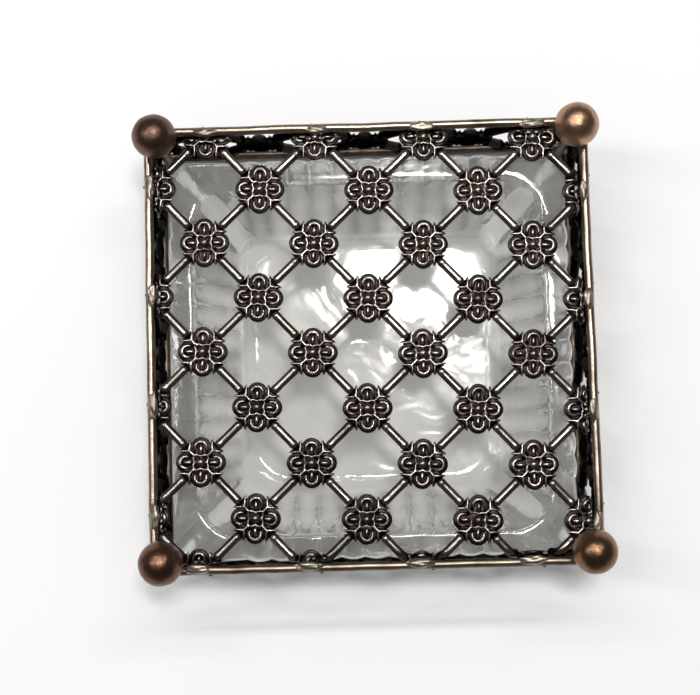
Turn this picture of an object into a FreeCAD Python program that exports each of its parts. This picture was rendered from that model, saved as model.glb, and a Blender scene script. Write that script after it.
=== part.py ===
import FreeCAD, Part
import math
import os
from FreeCAD import Vector

# Square flower frog. A brass cage with a flower lattice on its top and its four walls stands over
# a pressed-glass dish. Stems pass through the lattice into the water, and the cage lifts off.
# Millimetres. The origin is the centre of the footprint on the table, and +Z points up.

# ---- cage: driving dimensions ----
GRID = 12.5  # a flower sits on every second corner of this square grid
TOP_CELLS = 8  # grid squares along each side of the top
WALL_CELLS = 2  # grid squares up each wall
RAIL_R = 1.0  # wire rails round the top and the bottom
POST_R = 1.2  # corner posts
BALL_R = 5.0  # ball finials
BALL_GAP = 0.13  # air between a finial and the rails that pass under it
SOCKET_CLEARANCE = 0.03  # round a post, inside its finial
SOCKET_TOP_ABOVE_POST = 0.05
POST_INTO_BALL = 4.0  # how far a post reaches up inside its finial
CORNER_GAP = 0.9  # a wall's flowers stop this far short of the cage's corner line
LATTICE_TURN = -2.0  # degrees: the top's lattice was soldered in slightly askew
LATTICE_SHIFT = (-0.8, -2.15)  # and a little off centre
SMALLEST_PIECE = 0.3  # mm3: what trimming leaves below this is dropped

# ---- flower rosette: driving dimensions, on the panel's middle plane ----
SHEET_BACK = -0.6
SHEET_FRONT = 0.1
PETAL_AT = 3.45  # petal centre from the flower's centre
PETAL_R = 2.2
PETAL_RIM = 0.8  # width of a petal's raised rim
PETAL_RIM_TOP = 0.7
RIB_HALF_WIDTH = 0.35
RIB_START = 1.2
RIB_END = 4.4
RIB_TOP = 0.5
CORE_R = 2.0
PEARL_R = 1.0
PEARL_HEIGHT = 0.1
COLLAR_START = 2.3
COLLAR_END = 4.9
COLLAR_R = 0.98
BAR_R = 0.95

# ---- solder sleeves where a flower meets a rail ----
SOLDER_HALF_LENGTH = 3.4
SOLDER_THICK = 0.5
SOLDER_EDGE = 0.08  # thickness left at a sleeve's two ends

# ---- glass dish: driving dimensions ----
DISH_HEIGHT = 24.0
DISH_SHIFT = -2.6  # the dish stands loose in the cage, nearer its front
RIM_HALF = 46.0  # out to the crests of the reeds
RIM_CORNER_R = 6.5
RIM_BEVEL = 0.8
FOOT_HALF = 35.5
FOOT_CORNER_R = 5.0
REED_COUNT = 11  # rounded upright reeds along each side
REED_PITCH = 5.3
REED_RISE = 0.6  # from the dips between the reeds to their crests
REED_SHOULDER = 0.8  # from the last dip out to the plain corner
WELL_TOP_HALF = 40.0
WELL_TOP_CORNER_R = 11.0
WELL_FLOOR_HALF = 30.0
WELL_FLOOR_CORNER_R = 9.0
WELL_FLOOR_Z = 6.0
WELL_COVE_R = 5.0
WELL_RIM_ROUND = 1.0
FOOT_RECESS_HALF = 31.0
FOOT_RECESS_CORNER_R = 5.0
FOOT_RECESS_DEPTH = 0.8

# ---- worked-out dimensions ----
HALF = GRID * TOP_CELLS / 2
LOW_RAIL_Z = RAIL_R
TOP_RAIL_Z = LOW_RAIL_Z + GRID * WALL_CELLS
POST_AT = HALF - RAIL_R - POST_R
BALL_REACH = BALL_R + RAIL_R + BALL_GAP
BALL_Z = TOP_RAIL_Z + math.sqrt(BALL_REACH**2 - (HALF - POST_AT) ** 2)
POST_TOP_Z = BALL_Z - BALL_R + POST_INTO_BALL
DIAGONAL = GRID * math.sqrt(2)
BAR_LENGTH = DIAGONAL - 2 * COLLAR_END

X = Vector(1, 0, 0)
Z = Vector(0, 0, 1)
SIDES = {"front": 0, "right": 90, "back": 180, "left": 270}
CORNERS = {"front_left": (-1, -1), "front_right": (1, -1), "back_right": (1, 1), "back_left": (-1, 1)}


def turned(shape, axis, degrees):
    """A copy of the shape turned about an axis through the origin."""
    copy = shape.copy()
    copy.rotate(Vector(0, 0, 0), axis, degrees)
    return copy


def moved(shape, x, y, z=0):
    copy = shape.copy()
    copy.translate(Vector(x, y, z))
    return copy


def block(low, high):
    size = Vector(*high) - Vector(*low)
    return Part.makeBox(size.x, size.y, size.z, Vector(*low))


def save(node, solids):
    """Writes one node as a STEP file holding its closed solids."""
    for solid in solids:
        if not solid.isValid() or solid.Volume <= 0:
            raise RuntimeError(node + " holds a solid that is not closed")
    shape = solids[0] if len(solids) == 1 else Part.makeCompound(solids)
    shape.exportStep("parts/" + node + ".step")


# ---- the flower rosette and the bar between two rosettes ----
def quarters(shape):
    """The shape and its three copies a quarter turn apart."""
    return [turned(shape, Z, 90 * quarter_turn) for quarter_turn in range(4)]


def rosette():
    """A four-petalled flower with a pearl, as one solid lying on the XY plane and facing +Z.

    Each petal is a disc with a raised rim and a rib down its middle. The collars on the diagonals are
    round sleeves whose flat mouths take the bars' ends.
    """
    petal_disc = Part.makeCylinder(PETAL_R, PETAL_RIM_TOP - SHEET_BACK, Vector(PETAL_AT, 0, SHEET_BACK))
    collar = Part.makeCylinder(COLLAR_R, COLLAR_END - COLLAR_START, Vector(COLLAR_START, 0, 0), X)
    pocket = Part.makeCylinder(PETAL_R - PETAL_RIM, PETAL_RIM_TOP, Vector(PETAL_AT, 0, SHEET_FRONT))
    rib = block((RIB_START, -RIB_HALF_WIDTH, SHEET_BACK), (RIB_END, RIB_HALF_WIDTH, RIB_TOP))
    core = Part.makeCylinder(CORE_R, SHEET_FRONT - SHEET_BACK, Vector(0, 0, SHEET_BACK))
    pearl = Part.makeSphere(PEARL_R, Vector(0, 0, PEARL_HEIGHT))
    body = core.multiFuse(quarters(petal_disc) + quarters(turned(collar, Z, 45)))
    body = body.cut(Part.makeCompound(quarters(pocket)))
    return body.multiFuse(quarters(rib) + [pearl]).removeSplitter().Solids[0]


def trimmed(flower, gap):
    """The half of a flower on its -Y side, cut straight at a distance from its centre."""
    reach = GRID
    keep = block((-reach, -reach, -reach), (reach, -gap, reach))
    return flower.common(keep).Solids[0]


def bar():
    """The round bar from the origin's flower to the one at (GRID, GRID)."""
    return turned(Part.makeCylinder(BAR_R, BAR_LENGTH, Vector(COLLAR_END, 0, 0), X), Z, 45)


def bars(columns, rows, first_x, first_y):
    """One bar across each grid square, leaning so that it joins the two flowers at its corners."""
    rising = bar()
    falling = turned(rising, Z, 90)
    found = []
    for column in range(columns):
        for row in range(rows):
            left = first_x + column * GRID
            low = first_y + row * GRID
            if (column + row) % 2:
                found.append(moved(rising, left, low))
            else:
                found.append(moved(falling, left + GRID, low))
    return found


# ---- lattice panels ----
def edge_places():
    """Distances along a side at which a flower meets the rail."""
    return [index * GRID - HALF for index in range(1, TOP_CELLS, 2)]


def seated(shape):
    """Takes a piece of the top's lattice to where it lies in the wire frame."""
    return moved(turned(shape, Z, LATTICE_TURN), LATTICE_SHIFT[0], LATTICE_SHIFT[1], TOP_RAIL_Z)


def inside_frame(shape):
    """The shape's solids after whatever crosses the top rails' inner sides, or a post, is cut off."""
    edge = HALF - RAIL_R
    box = shape.BoundBox
    if max(box.XMax, box.YMax, -box.XMin, -box.YMin) < edge:
        return [shape]
    kept = shape.common(block((-edge, -edge, 0), (edge, edge, 2 * TOP_RAIL_Z)))
    for x_side, y_side in CORNERS.values():
        kept = kept.cut(post(x_side, y_side))
    return [solid for solid in kept.Solids if solid.Volume > SMALLEST_PIECE]


def top_flowers(flower):
    """Whole flowers inside the top's border."""
    found = []
    for column in range(1, TOP_CELLS):
        for row in range(1, TOP_CELLS):
            if (column + row) % 2:
                found.append(seated(moved(flower, column * GRID - HALF, row * GRID - HALF)))
    return found


def top_edge_flowers(flower):
    """Flowers on the top's four borders, each cut off where it meets its rail or a post."""
    found = []
    for angle in SIDES.values():
        for place in edge_places():
            found += inside_frame(seated(turned(moved(flower, place, HALF), Z, angle)))
    return found


def top_bars():
    found = []
    for piece in bars(TOP_CELLS, TOP_CELLS, -HALF, -HALF):
        found += inside_frame(seated(piece))
    return found


def wall_flowers(flower):
    """The flowers of one wall in the wall's own plane: whole and halved, with Y standing for height."""
    up = turned(trimmed(flower, RAIL_R), Z, 180)
    down = trimmed(flower, RAIL_R)
    corner_half = trimmed(flower, CORNER_GAP)
    middle = LOW_RAIL_Z + GRID
    found = [moved(up, place, LOW_RAIL_Z) for place in edge_places()]
    found += [moved(down, place, TOP_RAIL_Z) for place in edge_places()]
    found += [moved(flower, index * GRID - HALF, middle) for index in range(2, TOP_CELLS, 2)]
    found.append(moved(turned(corner_half, Z, 90), -HALF, middle))
    found.append(moved(turned(corner_half, Z, -90), HALF, middle))
    return found


def stand(shape, angle):
    """Takes a wall's piece from its own plane to the side of the cage at that angle about Z."""
    upright = moved(turned(shape, X, 90), 0, -HALF)
    return turned(upright, Z, angle)


# ---- wire frame ----
def rail(height):
    """The front rail at a height, mitred to meet its neighbours at the corners."""
    outer = HALF + RAIL_R
    inner = HALF - RAIL_R
    wire = Part.makeCylinder(RAIL_R, 2 * outer, Vector(-outer, -HALF, height), X)
    low = height - RAIL_R
    corners = [(-outer, -outer), (outer, -outer), (inner, -inner), (-inner, -inner), (-outer, -outer)]
    outline = Part.makePolygon([Vector(x, y, low) for x, y in corners])
    mitre = Part.Face(outline).extrude(Vector(0, 0, 2 * RAIL_R))
    return wire.common(mitre).Solids[0]


def post(x_side, y_side):
    return Part.makeCylinder(POST_R, POST_TOP_Z, Vector(x_side * POST_AT, y_side * POST_AT, 0))


def ball(x_side, y_side):
    """A ball finial with a blind socket that sits over its post's top."""
    foot = Vector(x_side * POST_AT, y_side * POST_AT, BALL_Z - BALL_R)
    depth = POST_INTO_BALL + SOCKET_TOP_ABOVE_POST
    socket = Part.makeCylinder(POST_R + SOCKET_CLEARANCE, depth, foot)
    centre = Vector(x_side * POST_AT, y_side * POST_AT, BALL_Z)
    return Part.makeSphere(BALL_R, centre).cut(socket).Solids[0]


def solder_sleeve(height, keep):
    """A lens-shaped sleeve of solder round the front rail at mid-length, cut to the box it may fill."""
    start = Vector(-SOLDER_HALF_LENGTH, -HALF, height + RAIL_R)
    end = Vector(SOLDER_HALF_LENGTH, -HALF, height + RAIL_R)
    rise = Vector(0, 0, SOLDER_EDGE)
    crown = Vector(0, -HALF, height + RAIL_R + SOLDER_THICK)
    edges = [
        Part.makeLine(start, end),
        Part.makeLine(end, end + rise),
        Part.Arc(end + rise, crown, start + rise).toShape(),
        Part.makeLine(start + rise, start),
    ]
    profile = Part.Face(Part.Wire(edges))
    ring = profile.revolve(Vector(0, -HALF, height), X, 360)
    return ring.common(keep).Solids[0]


def solder(height, keep, places):
    """The sleeves on all four rails at one height, at the distances that places gives for each rail."""
    one = solder_sleeve(height, keep)
    return [turned(moved(one, place, 0), Z, angle) for angle in SIDES.values() for place in places(angle)]


def top_places(angle):
    """Distances along the front rail, before it is turned by the angle, at which a seated flower meets it."""
    found = []
    for place in edge_places():
        centre = seated(turned(Part.Vertex(place, -HALF, 0), Z, angle))
        found.append(turned(centre, Z, -angle).Point.x)
    return found


def bottom_places(_angle):
    return edge_places()


# ---- glass dish ----
def corner_arc(half, corner_r, z):
    """The round corner between the +X and the +Y side."""
    straight = half - corner_r
    reach = straight + corner_r * math.cos(math.radians(45))
    return Part.Arc(Vector(half, straight, z), Vector(reach, reach, z), Vector(straight, half, z)).toShape()


def all_round(edges):
    """Repeats one quarter's edges round the Z axis and joins them into one closed wire."""
    found = [turned(edge, Z, 90 * quarter_turn) for quarter_turn in range(4) for edge in edges]
    return Part.Wire(Part.__sortEdges__(found))


def rounded_square(half, corner_r, z):
    side = Part.makeLine(Vector(half, corner_r - half, z), Vector(half, half - corner_r, z))
    return all_round([side, corner_arc(half, corner_r, z)])


def reeded_square(half, corner_r, z):
    """A rounded square whose +X side swells into a row of rounded reeds, and so all round."""
    span = REED_COUNT * REED_PITCH / 2
    dip = half - REED_RISE
    plain_from = span + REED_SHOULDER
    plain_to = half - corner_r
    edges = [
        Part.makeLine(Vector(half, -plain_to, z), Vector(half, -plain_from, z)),
        Part.makeLine(Vector(half, -plain_from, z), Vector(dip, -span, z)),
    ]
    for index in range(REED_COUNT):
        low = index * REED_PITCH - span
        middle = Vector(half, low + REED_PITCH / 2, z)
        edges.append(Part.Arc(Vector(dip, low, z), middle, Vector(dip, low + REED_PITCH, z)).toShape())
    edges.append(Part.makeLine(Vector(dip, span, z), Vector(half, plain_from, z)))
    edges.append(Part.makeLine(Vector(half, plain_from, z), Vector(half, plain_to, z)))
    edges.append(corner_arc(half, corner_r, z))
    return all_round(edges)


def edges_at(shape, z):
    """The shape's flat edges at one height."""
    near = 0.01
    return [e for e in shape.Edges if abs(e.BoundBox.ZMin - z) < near and abs(e.BoundBox.ZMax - z) < near]


def well():
    """The hollow for the water: wider at the rim, with a coved floor and round corners."""
    spread = (WELL_TOP_HALF - WELL_FLOOR_HALF) / (DISH_HEIGHT - WELL_FLOOR_Z)
    above = 1.0
    low = rounded_square(WELL_FLOOR_HALF, WELL_FLOOR_CORNER_R, WELL_FLOOR_Z)
    high = rounded_square(WELL_TOP_HALF + spread * above, WELL_TOP_CORNER_R, DISH_HEIGHT + above)
    hollow = Part.makeLoft([low, high], True, True)
    return hollow.makeFillet(WELL_COVE_R, edges_at(hollow, WELL_FLOOR_Z))


def glass_dish():
    """A flared dish with reeded sides, a water well and a shallow recess inside its foot ring."""
    sections = [
        reeded_square(FOOT_HALF, FOOT_CORNER_R, 0),
        reeded_square(RIM_HALF, RIM_CORNER_R, DISH_HEIGHT - RIM_BEVEL),
        reeded_square(RIM_HALF - RIM_BEVEL, RIM_CORNER_R, DISH_HEIGHT),
    ]
    body = Part.makeLoft(sections, True, True).cut(well())
    inside = WELL_TOP_HALF + WELL_RIM_ROUND
    mouth = [e for e in edges_at(body, DISH_HEIGHT) if max(e.BoundBox.XMax, e.BoundBox.YMax) < inside]
    mouth = [e for e in mouth if min(e.BoundBox.XMin, e.BoundBox.YMin) > -inside]
    body = body.makeFillet(WELL_RIM_ROUND, mouth)
    recess = Part.Face(rounded_square(FOOT_RECESS_HALF, FOOT_RECESS_CORNER_R, 0))
    return body.cut(recess.extrude(Vector(0, 0, FOOT_RECESS_DEPTH))).Solids[0]


# ---- write every node ----
os.makedirs("parts", exist_ok=True)
FLOWER = rosette()

save("glass_dish", [moved(glass_dish(), 0, DISH_SHIFT)])

save("top_flowers", top_flowers(FLOWER))
save("top_edge_flowers", top_edge_flowers(FLOWER))
save("top_bars", top_bars())

ONE_WALL = wall_flowers(FLOWER)
ONE_WALL_BARS = bars(TOP_CELLS, WALL_CELLS, -HALF, LOW_RAIL_Z)
for side, angle in SIDES.items():
    save(side + "_wall_flowers", [stand(piece, angle) for piece in ONE_WALL])
    save(side + "_wall_bars", [stand(piece, angle) for piece in ONE_WALL_BARS])
    save(side + "_top_rail", [turned(rail(TOP_RAIL_Z), Z, angle)])
    save(side + "_bottom_rail", [turned(rail(LOW_RAIL_Z), Z, angle)])

for corner, (x_side, y_side) in CORNERS.items():
    save(corner + "_post", [post(x_side, y_side)])
    save(corner + "_ball", [ball(x_side, y_side)])

WIDE = 2 * SOLDER_HALF_LENGTH
ABOVE_WALL = block((-WIDE, -HALF - WIDE, TOP_RAIL_Z - RAIL_R), (WIDE, -HALF + RAIL_R, TOP_RAIL_Z + WIDE))
OUTSIDE_WALL = block((-WIDE, -HALF - WIDE, 0), (WIDE, -HALF, LOW_RAIL_Z + RAIL_R))
save("top_solder", solder(TOP_RAIL_Z, ABOVE_WALL, top_places))
save("bottom_solder", solder(LOW_RAIL_Z, OUTSIDE_WALL, bottom_places))
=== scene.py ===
"""The looks of the square flower frog: an antiqued brass lattice cage over a pressed-glass dish."""
import math
import random

import bmesh
import bpy
import numpy as np
from mathutils import Euler, Matrix, Vector, noise

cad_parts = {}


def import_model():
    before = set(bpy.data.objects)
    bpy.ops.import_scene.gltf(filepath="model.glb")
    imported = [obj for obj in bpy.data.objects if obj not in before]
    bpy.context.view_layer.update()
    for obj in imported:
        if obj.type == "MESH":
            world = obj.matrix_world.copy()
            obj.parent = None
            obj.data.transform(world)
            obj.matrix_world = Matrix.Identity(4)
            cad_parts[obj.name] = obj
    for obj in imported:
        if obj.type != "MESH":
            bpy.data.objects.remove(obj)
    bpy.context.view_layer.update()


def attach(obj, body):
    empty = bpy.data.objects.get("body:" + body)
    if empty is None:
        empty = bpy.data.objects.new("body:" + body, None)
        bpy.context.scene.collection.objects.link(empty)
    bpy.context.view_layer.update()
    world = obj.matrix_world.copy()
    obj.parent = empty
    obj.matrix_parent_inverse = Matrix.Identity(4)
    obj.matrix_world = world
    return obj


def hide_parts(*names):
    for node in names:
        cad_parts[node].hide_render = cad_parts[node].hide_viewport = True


MM = 0.001
SEED = 7

# ---- the cage, in millimetres, as in the CAD ----
GRID = 12.5
TOP_CELLS = 8
WALL_CELLS = 2
HALF = GRID * TOP_CELLS / 2
RAIL_R = 1.0
POST_R = 1.2
BALL_R = 5.0
BALL_GAP = 0.13
POST_AT = HALF - RAIL_R - POST_R
LOW_RAIL_Z = RAIL_R
TOP_RAIL_Z = LOW_RAIL_Z + GRID * WALL_CELLS
BALL_Z = TOP_RAIL_Z + math.sqrt((BALL_R + RAIL_R + BALL_GAP) ** 2 - (HALF - POST_AT) ** 2)
POST_INTO_BALL = 4.0
LATTICE_TURN = -2.0
LATTICE_SHIFT = (-0.8, -2.15)
COLLAR_END = 4.9
SIDES = {"front": 0, "right": 90, "back": 180, "left": 270}
CORNERS = {"front_left": (-1, -1), "front_right": (1, -1), "back_right": (1, 1), "back_left": (-1, 1)}

# ---- the flower, in millimetres, its heights from its panel's middle plane ----
PETAL_AT = 3.35
PETAL_STEPS = 24
PETAL_MARGIN = 0.2
SHELL_AT = 1.94  # the petal's rounded outer edge, from the petal's centre
SHELL_SWEEP = 118  # degrees to either side
SHELL_R = 0.42
SHELL_Z = -0.2
ARC_AT = 1.33  # the thin horseshoe inside it
ARC_SWEEP = 112
ARC_R = 0.28
ARC_END = 0.8  # shares of its radius: at its ends, and what its middle has on top
ARC_SWELL = 0.5
ARC_Z = 0.3
GROOVE_Z = -0.3
BACK_Z = -0.58
TONGUE = [(2.35, 0.42, 0.1), (3.0, 0.44, 0.16), (3.55, 0.36, 0.12), (3.95, 0.24, -0.02)]  # x, radius, z
HUB_R = 2.3
HUB_Z = -0.25
STAR_AT = 1.8
STAR_SWING = 0.38
STAR_R = 0.23
STAR_Z = 0.28
STAR_STEPS = 64
PEARL_R = 1.12
PEARL_Z = 0.3
PEARL_SQUASH = 0.85
FLANGE_IN = 2.5
FLANGE_OUT = 4.9
FLANGE_Z = 0.3
FLANGE_DIP = 0.1
FLANGE_KNEE = FLANGE_IN + 0.15
FLANGE_BEND = (FLANGE_IN + 0.8, FLANGE_IN + 0.03)
FLANGE_RADII = [0.3, 0.26, 0.23]
SPINE_START = 1.5
SPINE_RADII = [0.27, 0.3]
WEB_START = 0.8
WEB_WAIST = (2.4, 1.0)
WEB_MARGIN = 0.1
WEB_LIP = 0.35
WEB_CORNER = FLANGE_IN + 1.1
WEB_Z = GROOVE_Z + 0.05
VOXEL = 0.085
SMOOTH_STEPS = 2
SMOOTH_FACTOR = 0.5
TOP_FLOWER_FACES = 5200
WALL_FLOWER_FACES = 2400
WALL_THICKENING = 1.5
CUT_AT_RAIL = RAIL_R * 0.8
CUT_AT_CORNER = 0.9

# ---- the bar between two flowers ----
BAR_R = 0.98
BAR_GAP = 0.15
BAR_CAP = 0.9
BAR_STEPS = 20
BAR_SWELL = 0.08  # extra radius near its ends, and the share of its length over which that fades
BAR_SWELL_REACH = 0.07
WALL_BAR_THICKENING = 1.2

# ---- wire, finials and solder ----
WIRE_STEP = 0.9
FEWEST_WIRE_STEPS = 12
WIRE_WAVELENGTH = 9.0
STRAIGHT_END = 6.0
WIRE_UNEVENNESS = 0.05
UNEVENNESS_PER_STEP = 0.35
RAIL_WAVE = 0.16
RAIL_SHORTENING = 0.35
POST_WAVE = 0.05
FIRST_POST_SEED = 20
BALL_SUBDIVISIONS = 6
BALL_INSET = 0.03
DENT_DEPTH = 0.07
DENT_SCALE = 2.3
PIT_DEPTH = 0.025
PIT_SCALE = 7.0
HOLE_SLOPE = 0.12
HOLE_EDGE_R = POST_R + 0.1 + HOLE_SLOPE
SOLDER_LENGTHS = (2.6, 3.4)
SOLDER_WIDTH = 1.15
SOLDER_HEIGHT = 0.85
SOLDER_SLIDE = 0.5
SOLDER_BUMP = 0.28
SOLDER_BUMP_SCALE = 1.6

# ---- wear with painted light, from 0 in the recesses (patina and painted shade) to 1 on the crests (wear and painted highlight), and each piece's own tint, some of them painted light and painted shade ----
# the flowers' crests get wear plus a painted highlight, their grooves patina plus painted shade
FLOWER_LIT_AND_RUBBED_FROM = 0.22
FLOWER_LIT_AND_RUBBED_OVER = 0.28
PEARL_WEAR_AND_LIGHT = 0.45
# a bar's top gets wear plus a painted highlight line
BAR_LIT_AND_RUBBED_FROM = 0.5
BAR_LIT_AND_RUBBED_OVER = 0.4
POST_WEAR = 0.4
BALL_WEAR = 0.7
SOLDER_WEAR = 0.8
LATTICE_TINTS = (-0.16, 0.16)
# painted light: how much brighter the lattice is painted towards the back
PAINTED_LIGHT_TO_BACK = 0.14
WALL_TINTS = (-0.2, 0.1)
# painted light on the back and side top rails, painted shade on the front top rail and on the bottom rails
# under the walls
TOP_RAIL_PAINTED_LIGHT = 0.25
FRONT_RAIL_PAINTED_SHADE = -0.2
BOTTOM_RAIL_PAINTED_SHADE = -0.6
POST_TINT = -0.2
BALL_TINTS = [0.0, 0.1, 0.35, -0.1]
SOLDER_TINTS = (-0.2, 0.2)
FLOWER_TILT = 1.6  # degrees by which the top's flowers lie askew
FLOWER_TURN = 2

# ---- the glass dish, in millimetres, as in the CAD ----
DISH_HEIGHT = 24.0
DISH_SHIFT = -2.6
RIM_HALF = 46.0
RIM_CORNER_R = 6.5
RIM_EDGE_R = 0.8
FOOT_HALF = 35.5
FOOT_CORNER_R = 5.0
FOOT_EDGE_Z = 0.6
REED_COUNT = 11
REED_PITCH = 5.3
REED_RISE = 0.6
WELL_TOP_HALF = 40.0
WELL_TOP_CORNER_R = 11.0
WELL_FLOOR_HALF = 30.0
WELL_FLOOR_CORNER_R = 9.0
WELL_FLOOR_Z = 6.0
WELL_COVE_R = 5.0
RECESS_HALF = 31.0
RECESS_CORNER_R = 5.0
RECESS_DEPTH = 0.8

# ---- the dish's finer shape ----
SAMPLES_PER_REED = 12
SAMPLES_PER_CORNER = 14
REED_ROUNDING = 0.8
REEDED_SHARE = 0.985  # of a side's straight stretch, at most
SMALLEST_CORNER_R = 0.4
RECESS_SHARES = [0.1, 0.25, 0.4, 0.55, 0.7, 0.85, 0.93]
RECESS_STEP_START = RECESS_HALF - 1.0
RECESS_STEP_WIDTH = 3.2
RECESS_STEPS = 8
FOOT_RINGS = [(0.0, 1.2, 0.1), (0.12, 0.55, 0.3), (FOOT_EDGE_Z, 0.0, 0.5)]  # height, inset, reed rise
SIDE_STEPS = 14
SIDE_BULGE = 0.05
RIM_TURNS = [20, 45, 70, 90]
RIM_RINGS = [(2.2, 0.8, 0.12), (3.5, 2.0, 0.0)]  # inset, rounder corner, reed rise
LIP_TURNS = [0, 25, 50, 75]
LIP_DROP = 1.2
LIP_WIDTH = 1.5
WELL_SIDE_TOP = DISH_HEIGHT - 1.4
WELL_SIDE_STEPS = 9
COVE_STEPS = 8
WELL_SHARES = [0.8, 0.6, 0.4, 0.2]
RIPPLE_HEIGHT = 0.12
RIPPLE_LENGTH = 11.0
RIPPLE_AT_EDGES = 0.4
RIPPLE_FROM_Z = 0.5
RIPPLE_EDGE = 2
REED_DEPTH_LEAST = 0.15
REED_DEPTH_POWER = 0.7

# ---- the top's border is folded down inside the rails, ending just above the dish ----
FOLD_START = 46.9
FOLD_R = 1.3
FOLD_GAP = 0.25
FOLD_DROP = TOP_RAIL_Z - FOLD_R - DISH_HEIGHT - FOLD_GAP
FOLD_END = FOLD_R * math.pi / 2 + FOLD_DROP  # length of sheet past the start of the fold

# ---- how metal wears, and how much painted light its relief brings ----
WEAR_AND_LIGHT_FROM_RELIEF = 0.75
WEAR_FROM_EDGES = 0.2
STAIN_STRENGTH = 0.6
GRAIN_DEPTH = 0.0001

# ---- glass ----
GLASS_IOR = 1.5
GLASS_PASSING = 0.08  # share of light let straight through
# painted shade: how much darker the glass is painted in the reeds' dips
REED_PAINTED_SHADE = 0.85

# ---- floor, in metres ----
FLOOR_REACH = 8.0
FLOOR_Z = -0.0001

# ---- camera: straight down, a little from the front ----
CAMERA_AT = Vector((-4.03, -27.16, 331.07)) * MM
CAMERA_TURN = Euler([math.radians(4.931), math.radians(0.289), math.radians(-1.607)])
CAMERA_LENS = 69.39
CAMERA_SENSOR = 36.0
CAMERA_NEAREST = 0.01

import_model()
random.seed(SEED)
noise.seed_set(SEED)


# ---- mesh helpers ----
def new_object(name, data):
    made = bpy.data.objects.new(name, data)
    bpy.context.scene.collection.objects.link(made)
    return made


def mesh_from(vertices, faces):
    mesh = bpy.data.meshes.new("mesh")
    mesh.from_pydata([tuple(v) for v in vertices], [], faces)
    mesh.update()
    return mesh


def join_meshes(parts):
    """One (vertices, faces) pair from several."""
    vertices = []
    faces = []
    for part_vertices, part_faces in parts:
        start = len(vertices)
        vertices += list(part_vertices)
        faces += [tuple(start + index for index in face) for face in part_faces]
    return vertices, faces


def round_end(point, outward, radius, cap_rings):
    """The (centre, radius) rings of a tube's round end, from its tip inwards."""
    first_ring = 0.35
    rings = []
    for ring in range(cap_rings):
        angle = math.pi / 2 * (ring + first_ring) / cap_rings
        rings.append((point + outward * radius * math.cos(angle), radius * math.sin(angle)))
    return rings


def tube(points, radii, around=16, cap_rings=4):
    """A closed tube with round ends along a path of points."""
    points = [Vector(p) for p in points]
    first = (points[0] - points[1]).normalized()
    last = (points[-1] - points[-2]).normalized()
    head = round_end(points[0], first, radii[0], cap_rings)
    tail = round_end(points[-1], last, radii[-1], cap_rings)
    path = head + list(zip(points, radii)) + tail[::-1]
    up = Vector((0, 0, 1))
    nearly_upright = abs(first.dot(up)) > 0.9
    if nearly_upright:
        up = Vector((1, 0, 0))
    vertices = []
    for index, (point, radius) in enumerate(path):
        before = path[max(index - 1, 0)][0]
        after = path[min(index + 1, len(path) - 1)][0]
        along = (after - before).normalized()
        side = along.cross(up).normalized()
        lift = side.cross(along)
        for step in range(around):
            turn = 2 * math.pi * step / around
            vertices.append(point + (side * math.cos(turn) + lift * math.sin(turn)) * radius)
    faces = []
    for ring in range(len(path) - 1):
        for step in range(around):
            a = ring * around + step
            b = ring * around + (step + 1) % around
            faces.append((a, b, b + around, a + around))
    faces.append(tuple(range(around))[::-1])
    faces.append(tuple((len(path) - 1) * around + step for step in range(around)))
    return vertices, faces


def prism(outline, low, high):
    """A closed plate with an outline given anticlockwise."""
    count = len(outline)
    vertices = [Vector((x, y, low)) for x, y in outline] + [Vector((x, y, high)) for x, y in outline]
    faces = [tuple(range(count))[::-1], tuple(range(count, 2 * count))]
    for index in range(count):
        after = (index + 1) % count
        faces.append((index, after, after + count, index + count))
    return vertices, faces


def disc(x, y, radius, low, high, around=40):
    outline = []
    for step in range(around):
        turn = 2 * math.pi * step / around
        outline.append((x + radius * math.cos(turn), y + radius * math.sin(turn)))
    return prism(outline, low, high)


def dome(centre, radius, squash, around=28, rings=14):
    """A closed ball squashed in height."""
    centre = Vector(centre)
    vertices = [centre + Vector((0, 0, radius * squash))]
    for ring in range(1, rings):
        polar = math.pi * ring / rings
        for step in range(around):
            turn = 2 * math.pi * step / around
            out = radius * math.sin(polar)
            height = radius * squash * math.cos(polar)
            vertices.append(centre + Vector((out * math.cos(turn), out * math.sin(turn), height)))
    vertices.append(centre - Vector((0, 0, radius * squash)))
    faces = []
    for step in range(around):
        after = (step + 1) % around
        faces.append((0, 1 + step, 1 + after))
        for ring in range(rings - 2):
            a = 1 + ring * around
            faces.append((a + step, a + around + step, a + around + after, a + after))
        a = 1 + (rings - 2) * around
        faces.append((len(vertices) - 1, a + after, a + step))
    return vertices, faces


def turned(part, quarter_turns):
    spin = Matrix.Rotation(math.pi / 2 * quarter_turns, 3, "Z")
    return [spin @ Vector(v) for v in part[0]], part[1]


def applied(piece):
    """The mesh that an object's modifiers make of it. The object itself goes."""
    graph = bpy.context.evaluated_depsgraph_get()
    mesh = bpy.data.meshes.new_from_object(piece.evaluated_get(graph))
    bpy.data.objects.remove(piece)
    return mesh


def remeshed(part, target_faces):
    """Fuses overlapping closed shells into one smooth skin of about target_faces triangles."""
    source = new_object("fusing", mesh_from(*part))
    fuse = source.modifiers.new("fuse", "REMESH")
    fuse.mode = "VOXEL"
    fuse.voxel_size = VOXEL
    soften = source.modifiers.new("soften", "SMOOTH")
    soften.factor = SMOOTH_FACTOR
    soften.iterations = SMOOTH_STEPS
    mesh = applied(source)
    dense = new_object("thinning", mesh)
    thin = dense.modifiers.new("thin", "DECIMATE")
    thin.ratio = min(1.0, target_faces / (2.0 * len(mesh.polygons)))
    return applied(dense)


# ---- the flower ----
def horseshoe(reach, half_sweep, height):
    """Points round the outer side of the petal on +X, at a reach from the petal's centre."""
    points = []
    for step in range(PETAL_STEPS + 1):
        turn = math.radians(-half_sweep + 2 * half_sweep * step / PETAL_STEPS)
        points.append(Vector((PETAL_AT + reach * math.cos(turn), reach * math.sin(turn), height)))
    return points


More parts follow.
